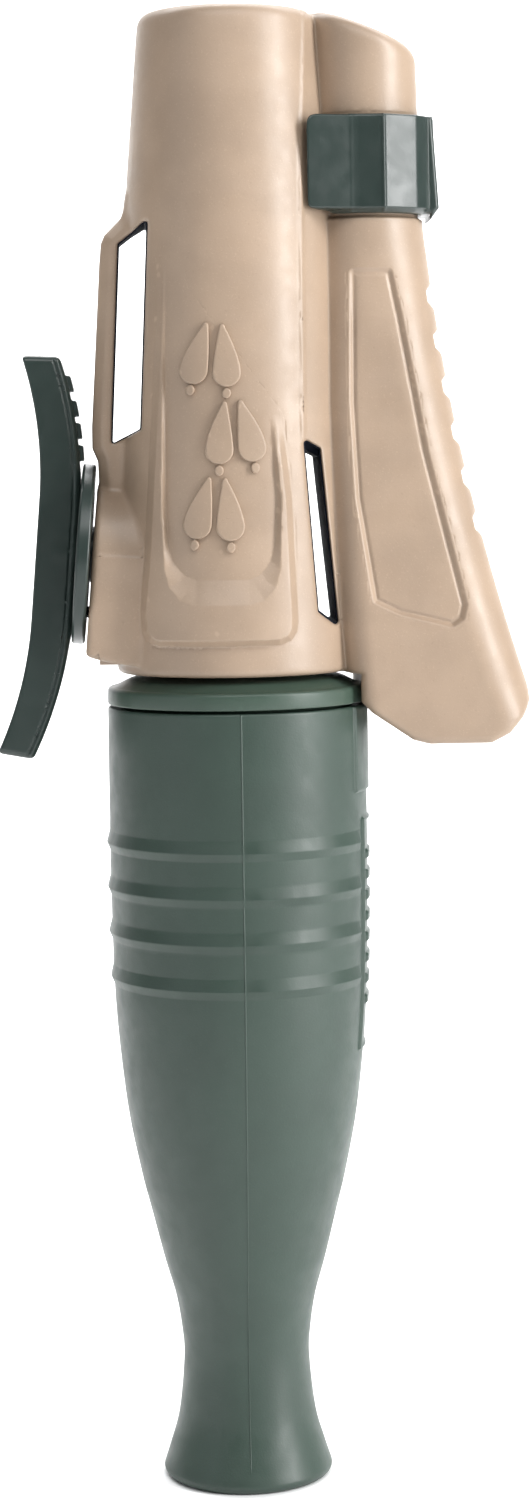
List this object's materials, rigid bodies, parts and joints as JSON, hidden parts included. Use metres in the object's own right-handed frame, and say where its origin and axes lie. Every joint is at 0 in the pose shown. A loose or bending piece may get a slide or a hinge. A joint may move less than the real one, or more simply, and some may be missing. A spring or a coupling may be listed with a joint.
{
  "type": "grunt tube call",
  "caption": "Hand-held deer call: tapered barrel with reed and tone dial, side tube with turning ring, grip chamber and ridged rubber bell.",
  "frame": {"origin": "centre of the bell mouth, in the plane of its rim", "axes": "+Z along the barrel from the bell mouth to the mouthpiece, +X towards the side tube and grip chamber, -Y towards the front with the raised frame"},
  "size_m": [0.0872, 0.0432, 0.24],
  "materials": {
    "tan_plastic": "fine matt mould texture, tan",
    "dark_green_plastic": "satin, dark green",
    "collar_plastic": "satin, green",
    "bell_rubber": "matt moulded rubber, green",
    "liner_plastic": "matt, black",
    "insert_plastic": "satin, black",
    "bushing_nylon": "satin, natural nylon",
    "reed_film": "clear gloss film",
    "wedge_foam": "matt, grey",
    "seal_rubber": "matt, black",
    "screw_steel": "zinc plated",
    "shaft_steel": "ground"
  },
  "bodies": {
    "body": {"front_shell": "tan_plastic", "back_shell": "tan_plastic", "shell_screws": "screw_steel", "mouth_liner": "liner_plastic", "liner_seal": "seal_rubber", "wheeze_liner": "liner_plastic", "wheeze_plate": "liner_plastic", "chamber_grille": "liner_plastic", "reed_insert": "insert_plastic", "insert_seal": "seal_rubber", "tone_board": "insert_plastic", "reed": "reed_film", "reed_wedge": "wedge_foam", "board_guide": "insert_plastic", "dial_bushing": "bushing_nylon", "dial_seal": "seal_rubber", "detent_ball": "shaft_steel", "detent_spring": "shaft_steel"},
    "dial": {"dial_shaft": "shaft_steel", "shaft_clip": "shaft_steel", "dial_pinion": "bushing_nylon", "dial_disc": "dark_green_plastic", "dial_handle": "dark_green_plastic", "dial_screw": "screw_steel"},
    "slider": {"tone_slider": "bushing_nylon", "slider_roller": "shaft_steel"},
    "wheeze": {"wheeze_ring": "dark_green_plastic"},
    "bell_unit": {"bell": "bell_rubber", "bell_collar": "collar_plastic", "collar_seal": "seal_rubber"}
  },
  "joints": [
    {"name": "dial_turn", "type": "hinge", "parent": "body", "child": "dial", "pos_m": [-0.02365, 0, 0.1513], "axis": [-0.9967, 0, 0.0807], "range_deg": [-60, 60]},
    {"name": "tone_slide", "type": "slide", "parent": "body", "child": "slider", "axis": [0.0807, 0, 0.9967], "range_m": [-0.0032, 0.0032]},
    {"name": "wheeze_turn", "type": "hinge", "parent": "body", "child": "wheeze", "pos_m": [0.0223, 0, 0.215], "axis": [0, 0, 1], "range_deg": [0, 35]},
    {"name": "bell_pull", "type": "slide", "parent": "body", "child": "bell_unit", "axis": [0, 0, -1], "range_m": [0, 0.012]}
  ],
  "couplings": [
    {"joint": "tone_slide", "follows": "dial_turn", "m_per_rad": -0.003}
  ]
}
